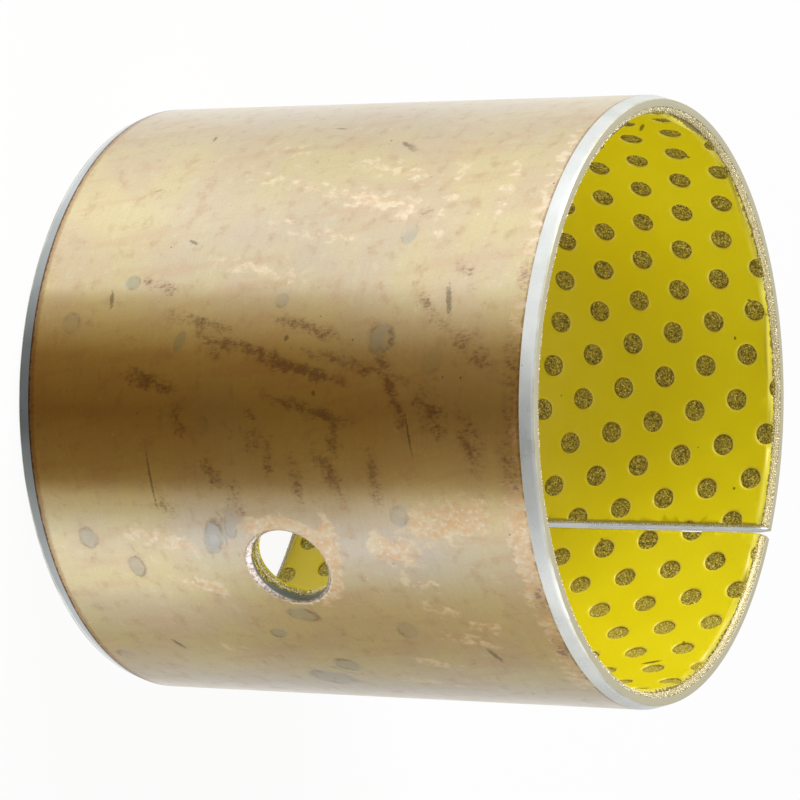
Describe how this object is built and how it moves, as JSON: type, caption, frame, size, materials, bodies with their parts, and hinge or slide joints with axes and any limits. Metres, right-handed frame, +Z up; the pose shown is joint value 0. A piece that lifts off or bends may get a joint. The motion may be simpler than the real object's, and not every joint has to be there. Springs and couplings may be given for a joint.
{
  "type": "sleeve bearing",
  "caption": "Split cylindrical plain bearing bush: steel back, sintered bronze and a pocketed acetal lining, with a radial grease hole.",
  "frame": {"origin": "centre of the bore at the lower end face, on which the bush stands", "axes": "+Z up along the bore axis; -Y towards the viewer of the picture; the split faces 62.5 degrees from +X towards +Y, and the grease hole lies 120 degrees before it"},
  "size_m": [0.075, 0.075, 0.07],
  "materials": {
    "bronze_flashed_steel": "satin steel with a thin worn bronze-coloured flash outside, bare at the chamfers and ends",
    "sintered_bronze": "grainy sintered bronze",
    "yellow_acetal": "smooth semi-matt yellow acetal with round grease pockets"
  },
  "bodies": {
    "root": {"steel_backing": "bronze_flashed_steel", "sintered_bronze_layer": "sintered_bronze", "acetal_lining": "yellow_acetal"}
  },
  "joints": []
}
